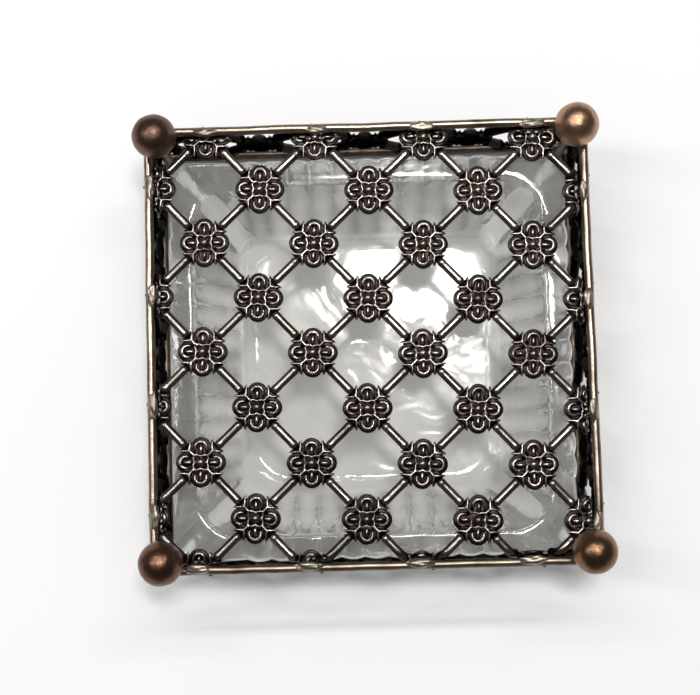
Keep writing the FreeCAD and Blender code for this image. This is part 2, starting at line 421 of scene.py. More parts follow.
def petal():
    """One petal on the +X side: a rounded shell, a thin horseshoe inside it and a tongue in the middle."""
    shell = horseshoe(SHELL_AT, SHELL_SWEEP, SHELL_Z)
    arc = horseshoe(ARC_AT, ARC_SWEEP, ARC_Z)
    arc_radii = []
    for step in range(PETAL_STEPS + 1):
        arc_radii.append(ARC_R * (ARC_END + ARC_SWELL * math.sin(math.pi * step / PETAL_STEPS)))
    tongue = [Vector((x, 0, z)) for x, _, z in TONGUE]
    tongue_radii = [radius for _, radius, _ in TONGUE]
    floor = disc(PETAL_AT, 0, SHELL_AT + PETAL_MARGIN, BACK_Z, GROOVE_Z)
    return [tube(shell, [SHELL_R] * len(shell)), tube(arc, arc_radii), tube(tongue, tongue_radii), floor]


def flange():
    """The L-shaped lip on the +X +Y diagonal that a bar's round end sits in."""
    knee = (FLANGE_KNEE, FLANGE_KNEE, FLANGE_Z)
    arm_x = [knee, (*FLANGE_BEND, FLANGE_Z), (FLANGE_OUT, FLANGE_IN, FLANGE_Z - FLANGE_DIP)]
    arm_y = [(y, x, z) for x, y, z in arm_x]
    spine = [(SPINE_START, SPINE_START, STAR_Z), knee]
    web_end = FLANGE_OUT - WEB_MARGIN
    web_side = [WEB_WAIST, (web_end, FLANGE_IN - WEB_MARGIN), (web_end, FLANGE_IN + WEB_LIP)]
    web = [(WEB_START, WEB_START)] + web_side + [(WEB_CORNER, WEB_CORNER)]
    web += [(y, x) for x, y in reversed(web_side)]
    arms = [tube(arm_x, FLANGE_RADII), tube(arm_y, FLANGE_RADII)]
    return arms + [tube(spine, SPINE_RADII), prism(web, BACK_Z, WEB_Z)]


def flower_mesh(target_faces):
    """A four-petalled rosette with a pearl inside a star-shaped ridge."""
    parts = [disc(0, 0, HUB_R, BACK_Z, HUB_Z), dome((0, 0, PEARL_Z), PEARL_R, PEARL_SQUASH)]
    star = []
    for step in range(STAR_STEPS + 1):
        turn = 2 * math.pi * step / STAR_STEPS
        reach = STAR_AT - STAR_SWING * math.cos(4 * turn)
        star.append(Vector((reach * math.cos(turn), reach * math.sin(turn), STAR_Z)))
    parts.append(tube(star, [STAR_R] * len(star)))
    for quarter_turn in range(4):
        parts += [turned(part, quarter_turn) for part in petal() + flange()]
    return remeshed(join_meshes(parts), target_faces)


def bar_mesh():
    """A round bar with swollen, rounded ends, along +X between two flowers a diagonal apart."""
    diagonal = GRID * math.sqrt(2)
    start = COLLAR_END + BAR_GAP
    length = diagonal - 2 * start - 2 * BAR_CAP
    points = []
    radii = []
    for step in range(BAR_STEPS + 1):
        share = step / BAR_STEPS
        points.append(Vector((start + BAR_CAP + length * share, 0, 0)))
        from_end = min(share, 1 - share)
        radii.append(BAR_R + BAR_SWELL * math.exp(-(from_end / BAR_SWELL_REACH) ** 2))
    return mesh_from(*tube(points, radii, around=18, cap_rings=5))


# ---- placing copies ----
def mesh_arrays(mesh):
    """The mesh's vertices as an array and its faces as lists of vertex numbers."""
    vertices = np.zeros(len(mesh.vertices) * 3)
    mesh.vertices.foreach_get("co", vertices)
    faces = [tuple(polygon.vertices) for polygon in mesh.polygons]
    return vertices.reshape(-1, 3), faces


def flower_relief(local):
    """How much wear and painted light each point of a flower gets, from 0 in the grooves (patina and
    painted shade) to 1 on the crests (wear and painted highlight).
    """
    raised_wear_and_light = np.clip((local[:, 2] - FLOWER_LIT_AND_RUBBED_FROM) / FLOWER_LIT_AND_RUBBED_OVER, 0.0, 1.0)
    on_pearl = np.hypot(local[:, 0], local[:, 1]) < PEARL_R
    return np.where(on_pearl, raised_wear_and_light * PEARL_WEAR_AND_LIGHT, raised_wear_and_light)


def bar_relief(local):
    """A bar is rubbed and painted bright along its top: wear plus a painted highlight line."""
    return np.clip((local[:, 2] - BAR_LIT_AND_RUBBED_FROM) / BAR_LIT_AND_RUBBED_OVER, 0.0, 1.0)


def placed(vertices, matrix):
    turn = np.array(matrix.to_3x3())
    return vertices @ turn.T + np.array(matrix.translation)


def keep_faces(vertices, faces, kept):
    """Only the faces whose vertices are all kept, renumbered."""
    number = np.cumsum(kept) - 1
    left = []
    for face in faces:
        if all(kept[index] for index in face):
            left.append(tuple(int(number[index]) for index in face))
    return vertices[kept], left


class Piece:
    """Collects placed copies of small meshes and makes one object of them."""

    def __init__(self, name):
        self.name = name
        self.vertices = []
        self.faces = []
        self.relief = []
        self.tint = []
        self.count = 0

    def add(self, vertices, faces, relief, tint):
        self.vertices.append(vertices)
        self.faces += [tuple(self.count + index for index in face) for face in faces]
        self.relief.append(relief)
        self.tint.append(np.full(len(vertices), tint))
        self.count += len(vertices)

    def make(self, material, body, node):
        """One object of all copies, which rides on a body and replaces a CAD node."""
        vertices = np.concatenate(self.vertices) * MM
        mesh = bpy.data.meshes.new(self.name)
        mesh.from_pydata(vertices.tolist(), [], self.faces)
        mesh.update()
        for label, values in (("relief", self.relief), ("tint", self.tint)):
            layer = mesh.attributes.new(label, "FLOAT", "POINT")
            layer.data.foreach_set("value", np.concatenate(values).astype(np.float32))
        mesh.shade_smooth()
        piece = new_object(self.name, mesh)
        mesh.materials.append(material)
        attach(piece, body)
        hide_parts(node)


# ---- lattice panels ----
def flat(x, y, degrees=0.0):
    return Matrix.Translation((x, y, 0)) @ Matrix.Rotation(math.radians(degrees), 4, "Z")


def seat():
    """Takes the top's lattice to where it lies in the wire frame."""
    shift = Matrix.Translation((*LATTICE_SHIFT, TOP_RAIL_Z))
    return shift @ Matrix.Rotation(math.radians(LATTICE_TURN), 4, "Z")


def stand(side):
    """Takes a wall's pieces from the wall's own plane to their side of the cage."""
    upright = Matrix.Translation((0, -HALF, 0)) @ Matrix.Rotation(math.radians(90), 4, "X")
    return Matrix.Rotation(math.radians(SIDES[side]), 4, "Z") @ upright


def folded(vertices):
    """Folds the part of the top's lattice that passes the inner sides of the rails straight down."""
    result = vertices.copy()
    for axis in (0, 1):
        sign = np.sign(result[:, axis])
        past = np.maximum(np.abs(result[:, axis]) - FOLD_START, 0.0)
        height = result[:, 2] - TOP_RAIL_Z
        turn = np.minimum(past / FOLD_R, math.pi / 2)
        drop = np.maximum(past - FOLD_R * math.pi / 2, 0.0)
        out = FOLD_START + (FOLD_R + height) * np.sin(turn)
        down = TOP_RAIL_Z - FOLD_R + (FOLD_R + height) * np.cos(turn) - drop
        bent = past > 0
        result[bent, axis] = (sign * out)[bent]
        result[bent, 2] = down[bent]
    return result


def within_fold(vertices):
    """Which points lie on the part of the sheet that is there at all."""
    reach = np.max(np.abs(vertices[:, :2]), axis=1)
    return reach < FOLD_START + FOLD_END


def edge_places():
    """Where the flowers that sit on a rail stand along it."""
    return [index * GRID - HALF for index in range(1, TOP_CELLS, 2)]


def bar_places(columns, rows, first_x, first_y):
    """The matrices of one bar across each grid square, leaning as the flowers at its corners ask."""
    found = []
    for column in range(columns):
        for row in range(rows):
            left = first_x + column * GRID
            low = first_y + row * GRID
            if (column + row) % 2:
                found.append(flat(left, low, 45))
            else:
                found.append(flat(left + GRID, low, 135))
    return found


def lattice_tint_and_painted_light(y):
    """A random tint plus painted light: the lattice is painted brighter towards the back."""
    return random.uniform(*LATTICE_TINTS) + PAINTED_LIGHT_TO_BACK * y / HALF


def top_flowers(flower, metal):
    flower_vertices, flower_faces = mesh_arrays(flower)
    flower_marks = flower_relief(flower_vertices)
    inner = Piece("top_flower_castings")
    border = Piece("top_border_flowers")
    for column in range(TOP_CELLS + 1):
        for row in range(TOP_CELLS + 1):
            if (column + row) % 2 == 0:
                continue
            x = column * GRID - HALF
            y = row * GRID - HALF
            tilt = Matrix.Rotation(math.radians(random.uniform(-FLOWER_TILT, FLOWER_TILT)), 4, "X")
            turn = random.uniform(-FLOWER_TURN, FLOWER_TURN)
            vertices = placed(flower_vertices, seat() @ flat(x, y, turn) @ tilt)
            target = border if max(abs(x), abs(y)) == HALF else inner
            kept = within_fold(vertices)
            vertices, faces = keep_faces(vertices, flower_faces, kept)
            target.add(folded(vertices), faces, flower_marks[kept], lattice_tint_and_painted_light(y))
    inner.make(metal, "frog", "top_flowers")
    border.make(metal, "frog", "top_edge_flowers")


def top_bars(bar, metal):
    bar_vertices, bar_faces = mesh_arrays(bar)
    bar_marks = bar_relief(bar_vertices)
    rods = Piece("top_lattice_bars")
    for place in bar_places(TOP_CELLS, TOP_CELLS, -HALF, -HALF):
        vertices = placed(bar_vertices, seat() @ place)
        kept = within_fold(vertices)
        tint = lattice_tint_and_painted_light(vertices[0][1])
        vertices, faces = keep_faces(vertices, bar_faces, kept)
        rods.add(folded(vertices), faces, bar_marks[kept], tint)
    rods.make(metal, "frog", "top_bars")


def halved(vertices, faces, gap):
    """The half of a flower on its -Y side, without what lies within the gap of its middle line."""
    kept = vertices[:, 1] < -gap
    left, left_faces = keep_faces(vertices, faces, kept)
    return left, left_faces, flower_relief(left)


def thickened(vertices, share):
    return vertices * np.array((1.0, 1.0, share))


def wall_flowers(side, flower, metal):
    """A wall's castings: halves on its rails, halves at its corners and whole ones between them."""
    vertices, faces = mesh_arrays(flower)
    vertices = thickened(vertices, WALL_THICKENING)
    whole = (vertices, faces, flower_relief(vertices))
    at_rail = halved(vertices, faces, CUT_AT_RAIL)
    at_corner = halved(vertices, faces, CUT_AT_CORNER)
    middle = LOW_RAIL_Z + GRID
    copies = [(at_rail, flat(place, LOW_RAIL_Z, 180)) for place in edge_places()]
    copies += [(at_rail, flat(place, TOP_RAIL_Z)) for place in edge_places()]
    copies += [(at_corner, flat(-HALF, middle, 90)), (at_corner, flat(HALF, middle, -90))]
    copies += [(whole, flat(index * GRID - HALF, middle)) for index in range(2, TOP_CELLS, 2)]
    castings = Piece(side + "_wall_castings")
    for (copy_vertices, copy_faces, relief), place in copies:
        standing = placed(copy_vertices, stand(side) @ place)
        castings.add(standing, copy_faces, relief, random.uniform(*WALL_TINTS))
    castings.make(metal, "frog", side + "_wall_flowers")


def wall_bars(side, bar, metal):
    vertices, faces = mesh_arrays(bar)
    relief = bar_relief(vertices)
    vertices = thickened(vertices, WALL_BAR_THICKENING)
    rods = Piece(side + "_wall_rods")
    for place in bar_places(TOP_CELLS, WALL_CELLS, -HALF, LOW_RAIL_Z):
        rods.add(placed(vertices, stand(side) @ place), faces, relief, random.uniform(*WALL_TINTS))
    rods.make(metal, "frog", side + "_wall_bars")


# ---- wire frame ----
def wobble(position, reach, seed):
    """A smooth random offset."""
    point = Vector(position) / WIRE_WAVELENGTH + Vector((seed * 7.3, seed * 3.1, seed * 5.7))
    return noise.noise_vector(point) * reach


def wire(name, start, end, radius, wave, metal, node, seed, tint):
    """A hand-bent round wire with small dents; lying, it gets wear and a painted highlight along its top,
    and standing, even wear.
    """
    start = Vector(start)
    end = Vector(end)
    length = (end - start).length
    steps = max(FEWEST_WIRE_STEPS, int(length / WIRE_STEP))
    along = (end - start).normalized()
    points = []
    radii = []
    for step in range(steps + 1):
        share = step / steps
        from_end = min(share, 1 - share) * length
        free = min(1.0, from_end / STRAIGHT_END)
        offset = wobble(start.lerp(end, share), wave * free, seed)
        offset -= along * offset.dot(along)
        points.append(start.lerp(end, share) + offset)
        uneven = noise.noise(Vector((share * steps * UNEVENNESS_PER_STEP, seed, 0)))
        radii.append(radius * (1 + WIRE_UNEVENNESS * uneven))
    vertices, faces = tube(points, radii, around=24, cap_rings=4)
    vertices = np.array([tuple(v) for v in vertices])
    vertices[:, 2] = np.maximum(vertices[:, 2], 0.0)
    lies = abs(along.z) < 0.5
    # a lying wire's top gets wear plus a painted highlight; a standing one gets even wear
    above = (vertices[:, 2] - start.z) / radius
    relief = np.clip(above, 0.0, 1.0) if lies else np.full(len(vertices), POST_WEAR)
    piece = Piece(name)
    piece.add(vertices, faces, relief, tint)
    piece.make(metal, "frog", node)


def rails(metal):
    for number, (side, angle) in enumerate(SIDES.items()):
        spin = Matrix.Rotation(math.radians(angle), 3, "Z")
        # the front top rail is painted darker and the other top rails lighter: painted shade and painted
        # light
        top_rail_painted_level = FRONT_RAIL_PAINTED_SHADE if side == "front" else TOP_RAIL_PAINTED_LIGHT
        levels = (("top", TOP_RAIL_Z, top_rail_painted_level), ("bottom", LOW_RAIL_Z, BOTTOM_RAIL_PAINTED_SHADE))
        for label, height, tint in levels:
            reach = HALF - RAIL_SHORTENING
            start = spin @ Vector((-reach, -HALF, height))
            end = spin @ Vector((reach, -HALF, height))
            node = side + "_" + label + "_rail"
            seed = number * 2 + (label == "top")
            wire(node + "_wire", start, end, RAIL_R, RAIL_WAVE, metal, node, seed, tint)


def posts(metal):
    top_z = BALL_Z - BALL_R + POST_INTO_BALL - POST_R
    for number, (corner, (x_side, y_side)) in enumerate(CORNERS.items()):
        foot = Vector((x_side * POST_AT, y_side * POST_AT, POST_R))
        top = Vector((x_side * POST_AT, y_side * POST_AT, top_z))
        node = corner + "_post"
        wire(node + "_wire", foot, top, POST_R, POST_WAVE, metal, node, FIRST_POST_SEED + number, POST_TINT)


# ---- finials ----
def dented_radius(along, seed):
    """A ball's radius in one direction, with broad dents and fine pits."""
    dents = noise.noise(along * DENT_SCALE + Vector((seed * 5.0, 0, 0))) * DENT_DEPTH
    pits = noise.noise(along * PIT_SCALE + Vector((0, seed * 9.0, 0))) * PIT_DEPTH
    return BALL_R - BALL_INSET + (dents + pits)


def ball_mesh(seed):
    """A dented ball with a hole in its underside for the post."""
    work = bmesh.new()
    bmesh.ops.create_icosphere(work, subdivisions=BALL_SUBDIVISIONS, radius=BALL_R)
    for vertex in work.verts:
        along = vertex.co.normalized()
        vertex.co = along * dented_radius(along, seed)
        into_hole = (HOLE_EDGE_R - math.hypot(vertex.co.x, vertex.co.y)) / HOLE_SLOPE
        if vertex.co.z < 0 and into_hole > 0:
            vertex.co.z += min(1.0, into_hole) * POST_INTO_BALL
    mesh = bpy.data.meshes.new("ball")
    work.to_mesh(mesh)
    work.free()
    return mesh


def balls(metals):
    for number, (corner, (x_side, y_side)) in enumerate(CORNERS.items()):
        vertices, faces = mesh_arrays(ball_mesh(number))
        centre = np.array((x_side * POST_AT, y_side * POST_AT, BALL_Z))
        piece = Piece(corner + "_finial")
        piece.add(vertices + centre, faces, np.full(len(vertices), BALL_WEAR), BALL_TINTS[number])
        piece.make(metals[number], "frog", corner + "_ball")


# ---- solder ----
def blob(length, seed):
    """A smeared lens of solder along X, its middle at the origin."""
    vertices, faces = dome((0, 0, 0), 1.0, 1.0, around=36, rings=18)
    shaped = []
    for vertex in vertices:
        bump = noise.noise(vertex * SOLDER_BUMP_SCALE + Vector((seed * 3.7, seed, 0)))
        size = 1 + SOLDER_BUMP * bump
        y = vertex.y * SOLDER_WIDTH * size
        z = vertex.z * SOLDER_HEIGHT * size
        shaped.append((vertex.x * length * size, y, z))
    return np.array(shaped), faces


def top_places(angle):
    """Where the top's border flowers meet the rail on the side turned by angle."""
    spin = Matrix.Rotation(math.radians(angle), 4, "Z")
    found = []
    for place in edge_places():
        seated_place = seat() @ spin @ Vector((place, -HALF, 0))
        found.append((spin.inverted() @ seated_place).x)
    return found


def bottom_places(_angle):
    """The walls' lower flowers stand where the grid has them, on every side."""
    return edge_places()


def solder_piece(name, node, places, height, inward, lift, lean, metal):
    """One blob at each place along each rail, moved inward and lifted from it and leaning by degrees."""
    piece = Piece(name)
    seed = 1
    for angle in SIDES.values():
        spin = Matrix.Rotation(math.radians(angle), 4, "Z")
        for place in places(angle):
            seed += 1
            slide = random.uniform(-SOLDER_SLIDE, SOLDER_SLIDE)
            vertices, faces = blob(random.uniform(*SOLDER_LENGTHS), seed)
            slope = Matrix.Rotation(math.radians(lean), 4, "X")
            where = Matrix.Translation((place + slide, -HALF + inward, height + lift))
            relief = np.full(len(vertices), SOLDER_WEAR)
            piece.add(placed(vertices, spin @ where @ slope), faces, relief, random.uniform(*SOLDER_TINTS))
    piece.make(metal, "frog", node)


# ---- the glass dish ----
def reed_crest(step):
    """How far out a sample lies on its reed, from 0 in the dips to 1 on the crest."""
    phase = (step % SAMPLES_PER_REED) / SAMPLES_PER_REED
    return math.sin(math.pi * phase) ** REED_ROUNDING


def outline(half, corner_r, rise):
    """A rounded square as (x, y, crest), its four sides swelling into reeds of a given rise."""
    straight = half - corner_r
    span = min(REED_COUNT * REED_PITCH / 2, straight * REEDED_SHARE)
    count = REED_COUNT * SAMPLES_PER_REED
    side = [(half, -straight, 1.0)]
    for step in range(count + 1):
        crest = reed_crest(step)
        side.append((half - rise * (1 - crest), -span + 2 * span * step / count, crest))
    side.append((half, straight, 1.0))
    for step in range(1, SAMPLES_PER_CORNER):
        turn = math.pi / 2 * step / SAMPLES_PER_CORNER
        side.append((straight + corner_r * math.cos(turn), straight + corner_r * math.sin(turn), 1.0))
    points = []
    for quarter_turn in range(4):
        for x, y, crest in side:
            for _ in range(quarter_turn):
                x, y = -y, x
            points.append((x, y, crest))
    return points


def shrinking_rings(z, half, corner_r, shares):
    """Flat rings towards a face's middle, or out of it."""
    return [(z, half * share, max(SMALLEST_CORNER_R, corner_r * share), 0.0) for share in shares]


def underside_rings():
    """From the middle of the recess to the soft step that ends at the foot's ring."""
    rings = shrinking_rings(RECESS_DEPTH, RECESS_HALF, RECESS_CORNER_R, RECESS_SHARES)
    for step in range(1, RECESS_STEPS):
        share = step / RECESS_STEPS
        easing = share * share * (3 - 2 * share)
        half = RECESS_STEP_START + RECESS_STEP_WIDTH * share
        rings.append((RECESS_DEPTH * (1 - easing), half, RECESS_CORNER_R, 0.0))
    return rings


def side_rings():
    """The foot's rounded edge and the reeded side, which flares a little faster at first."""
    rings = [(z, FOOT_HALF - inset, FOOT_CORNER_R, rise) for z, inset, rise in FOOT_RINGS]
    for step in range(1, SIDE_STEPS + 1):
        share = step / SIDE_STEPS
        flare = min(1.0, share + SIDE_BULGE * math.sin(math.pi * share))
        z = FOOT_EDGE_Z + (DISH_HEIGHT - FOOT_EDGE_Z - RIM_EDGE_R) * share
        half = FOOT_HALF + (RIM_HALF - FOOT_HALF) * flare
        corner_r = FOOT_CORNER_R + (RIM_CORNER_R - FOOT_CORNER_R) * share
        rings.append((z, half, corner_r, REED_RISE))
    return rings


def rim_rings():
    """The rim's rounded outer edge, its flat top and the lip that turns down into the well."""
    rings = []
    for turn in RIM_TURNS:
        angle = math.radians(turn)
        z = DISH_HEIGHT - RIM_EDGE_R + RIM_EDGE_R * math.sin(angle)
        half = RIM_HALF - RIM_EDGE_R + RIM_EDGE_R * math.cos(angle)
        rings.append((z, half, RIM_CORNER_R, REED_RISE * (1 - 0.5 * turn / 90)))
    for inset, rounder, rise in RIM_RINGS:
        rings.append((DISH_HEIGHT, RIM_HALF - inset, RIM_CORNER_R + rounder, rise))
    for turn in LIP_TURNS:
        angle = math.radians(turn)
        z = DISH_HEIGHT - LIP_DROP * (1 - math.cos(angle))
        half = WELL_TOP_HALF + LIP_DROP - LIP_WIDTH * math.sin(angle)
        rings.append((z, half, WELL_TOP_CORNER_R - 1.0, 0.0))
    return rings


def well_rings():
    """The well's sloping side, the cove at its foot and its flat floor."""
    depth = DISH_HEIGHT - WELL_FLOOR_Z
    widening = WELL_TOP_HALF - WELL_FLOOR_HALF
    slope = math.atan2(depth, widening)
    cove_top_z = WELL_FLOOR_Z + WELL_COVE_R * (1 - math.cos(slope))
    rings = []
    for step in range(1, WELL_SIDE_STEPS):
        share = step / WELL_SIDE_STEPS
        z = WELL_SIDE_TOP + (cove_top_z - WELL_SIDE_TOP) * share
        half = WELL_FLOOR_HALF + widening * (z - WELL_FLOOR_Z) / depth
        corner_r = WELL_FLOOR_CORNER_R + (WELL_TOP_CORNER_R - WELL_FLOOR_CORNER_R) * (1 - share)
        rings.append((z, half, corner_r, 0.0))
    flat_half = WELL_FLOOR_HALF - WELL_COVE_R * math.tan(slope / 2)
    for step in range(COVE_STEPS + 1):
        angle = slope * (1 - step / COVE_STEPS)
        z = WELL_FLOOR_Z + WELL_COVE_R * (1 - math.cos(angle))
        rings.append((z, flat_half + WELL_COVE_R * math.sin(angle), WELL_FLOOR_CORNER_R, 0.0))
    for share in WELL_SHARES:
        corner_r = max(SMALLEST_CORNER_R, WELL_FLOOR_CORNER_R * share)
        rings.append((WELL_FLOOR_Z, flat_half * share, corner_r, 0.0))
    return rings


def rippled(x, y, z):
    """A point of the dish with the pressing's soft ripple, weaker near its edges and none at its foot."""
    if z <= RIPPLE_FROM_Z:
        return Vector((x, y, z))
    ripple = noise.noise(Vector((x, y, z)) / RIPPLE_LENGTH) * RIPPLE_HEIGHT
    if not RIPPLE_EDGE < z < DISH_HEIGHT - RIPPLE_EDGE:
        ripple *= RIPPLE_AT_EDGES
    return Vector((x, y, z + ripple))


def skin_faces(ring_count, around):
    """The faces of a closed skin of rings between a first and a last point."""
    last_point = 1 + ring_count * around
    faces = []
    for step in range(around):
        after = (step + 1) % around
        faces.append((0, 1 + after, 1 + step))
        for ring in range(ring_count - 1):
            a = 1 + ring * around
            faces.append((a + step, a + after, a + around + after, a + around + step))
        a = 1 + (ring_count - 1) * around
        faces.append((last_point, a + step, a + after))
    return faces


def glass_dish(glass):
    """The dish, from rings of (height, half width, corner radius, reed rise).

    Its relief is the depth of the reeds' dips, where the glass shader paints shade into the glass.
    """
    rings = underside_rings() + side_rings() + rim_rings() + well_rings()
    vertices = [Vector((0, 0, rings[0][0]))]
    depth = [0.0]
    for z, half, corner_r, rise in rings:
        reeded = rise / REED_RISE
        for x, y, crest in outline(half, corner_r, rise):
            dip = (1 - crest) ** REED_DEPTH_POWER
            depth.append(reeded * (REED_DEPTH_LEAST + (1 - REED_DEPTH_LEAST) * dip))
            vertices.append(rippled(x, y, z))
    vertices.append(Vector((0, 0, rings[-1][0])))
    depth.append(0.0)
    around = (len(vertices) - 2) // len(rings)
    faces = skin_faces(len(rings), around)
    vertices = np.array([tuple(v) for v in vertices]) + np.array((0, DISH_SHIFT, 0))
    piece = Piece("pressed_glass_dish")
    piece.add(vertices, faces, np.array(depth), 0.0)
    piece.make(glass, "dish", "glass_dish")


# ---- materials ----
def colour(red, green, blue):
    return (red, green, blue, 1.0)


class Nodes:
    """A short way to write the node tree of a material or a world."""

    def __init__(self, owner):
        owner.use_nodes = True
        self.owner = owner
        self.tree = owner.node_tree
        self.tree.nodes.clear()

    def fill(self, socket, value):
        if isinstance(value, bpy.types.NodeSocket):
            self.tree.links.new(value, socket)
        else:
            socket.default_value = value

    def node(self, kind, values=None, **settings):
        made = self.tree.nodes.new(kind)
        for key, value in settings.items():
            setattr(made, key, value)
        for key, value in (values or {}).items():
            self.fill(made.inputs[key], value)
        return made

    def attribute(self, name):
        return self.node("ShaderNodeAttribute", attribute_name=name).outputs["Fac"]

    def math(self, operation, first, second, clamp=False):
        made = self.node("ShaderNodeMath", {0: first, 1: second}, operation=operation, use_clamp=clamp)
        return made.outputs[0]

    def noise(self, scale, detail=4.0, roughness=0.55, distortion=0.0):
        where = self.node("ShaderNodeTexCoord").outputs["Object"]
        values = {"Vector": where, "Scale": scale, "Detail": detail}
        values |= {"Roughness": roughness, "Distortion": distortion}
        return self.node("ShaderNodeTexNoise", values).outputs["Fac"]

    def stretch(self, value, low, high, new_low=0.0, new_high=1.0):
        values = {"Value": value, "From Min": low, "From Max": high, "To Min": new_low, "To Max": new_high}
        return self.node("ShaderNodeMapRange", values).outputs["Result"]

    def bump(self, height, strength, distance):
        values = {"Height": height, "Strength": strength, "Distance": distance}
        return self.node("ShaderNodeBump", values).outputs["Normal"]

    def mix(self, share, first, second):
        """A blend of two colours."""
        made = self.node("ShaderNodeMix", data_type="RGBA")
        for index, value in ((0, share), (6, first), (7, second)):
            self.fill(made.inputs[index], value)
        return made.outputs[2]

    def blend(self, share, first, second):
        """A blend of two shaders."""
        return self.node("ShaderNodeMixShader", {0: share, 1: first, 2: second}).outputs[0]

    def principled(self, values):
        return self.node("ShaderNodeBsdfPrincipled", values).outputs[0]

    def finish(self, kind, surface):
        self.node(kind, {"Surface": surface})
        return self.owner


def new_material(name):
    return Nodes(bpy.data.materials.new(name))


def metal_shader(name, dark, light, patina, edges, roughness, grain, sheen=1.0):
    """Stained metal that is dark in its recesses, from patina and painted shade, and bright where it stands
    out, from wear and a painted highlight.
    """
    nodes = new_material(name)
    pointiness = nodes.node("ShaderNodeNewGeometry").outputs["Pointiness"]
    on_edges = nodes.math("MULTIPLY", nodes.stretch(pointiness, *edges), WEAR_FROM_EDGES)
    # the relief attribute brings wear and patina plus a painted highlight on crests and painted shade in
    # recesses
    raised_wear_and_light = nodes.math("MULTIPLY", nodes.attribute("relief"), WEAR_AND_LIGHT_FROM_RELIEF)
    wear_and_light = nodes.math("ADD", raised_wear_and_light, on_edges)
    blotch = nodes.stretch(nodes.noise(scale=260.0, detail=5.0), 0.3, 0.7, -0.25, 0.25)
    uneven = nodes.math("ADD", nodes.math("ADD", blotch, nodes.attribute("tint")), 1.0)
    wear_and_light = nodes.math("MULTIPLY", wear_and_light, uneven, clamp=True)
    base = nodes.mix(wear_and_light, dark, light)
    stain = nodes.stretch(nodes.noise(scale=140.0, detail=3.0), 0.52, 0.7)
    base = nodes.mix(nodes.math("MULTIPLY", stain, STAIN_STRENGTH), base, patina)
    surface = nodes.principled({
        "Base Color": base,
        "Metallic": 1.0,
        "Roughness": nodes.stretch(wear_and_light, 0.0, 1.0, *roughness),
        "Normal": nodes.bump(nodes.noise(scale=1800.0), grain, GRAIN_DEPTH),
        "Specular Tint": colour(sheen, sheen, sheen)})
    return nodes.finish("ShaderNodeOutputMaterial", surface)


def lattice_metal():
    return metal_shader(
        "antiqued_brass_relief", dark=colour(0.014, 0.01, 0.012), light=colour(0.52, 0.46, 0.4),
        patina=colour(0.035, 0.025, 0.022), edges=(0.5, 0.6), roughness=(0.3, 0.24), grain=0.2, sheen=0.6)


# A darker, duller copy of the lattice metal: painted shade, as the walls stand in the cage's shade.
def shaded_wall_metal():
    return metal_shader(
        "antiqued_brass_walls_painted_shade", dark=colour(0.006, 0.005, 0.006), light=colour(0.3, 0.27, 0.24),
        patina=colour(0.015, 0.011, 0.01), edges=(0.5, 0.6), roughness=(0.55, 0.28), grain=0.2, sheen=0.15)


def wire_metal():
    return metal_shader(
        "bronze_wire_rubbed", dark=colour(0.03, 0.021, 0.016), light=colour(0.52, 0.42, 0.33),
        patina=colour(0.06, 0.04, 0.028), edges=(0.49, 0.56), roughness=(0.45, 0.28), grain=0.35)


def solder_metal():
    return metal_shader(
        "smeared_solder", dark=colour(0.1, 0.08, 0.06), light=colour(0.5, 0.44, 0.36),
        patina=colour(0.16, 0.12, 0.09), edges=(0.48, 0.56), roughness=(0.5, 0.34), grain=0.7)


def copper(name, dark, light, patina, roughness=(0.45, 0.34)):
    return metal_shader(name, dark, light, patina, edges=(0.49, 0.53), roughness=roughness, grain=0.3)


def ball_metals():
    """One copper for each corner, in the order of CORNERS."""
    return [
        copper("copper_dark_front_left", colour(0.03, 0.016, 0.012), colour(0.25, 0.13, 0.085),
               colour(0.06, 0.03, 0.022), roughness=(0.45, 0.3)),
        copper("copper_dark_front_right", colour(0.03, 0.015, 0.01), colour(0.34, 0.195, 0.11),
               colour(0.06, 0.03, 0.018), roughness=(0.42, 0.28)),
        copper("copper_light_back_right", colour(0.12, 0.06, 0.035), colour(0.5, 0.31, 0.2),
               colour(0.2, 0.11, 0.07)),
        copper("copper_dark_back_left", colour(0.035, 0.02, 0.015), colour(0.24, 0.145, 0.11),
               colour(0.06, 0.037, 0.028)),
    ]


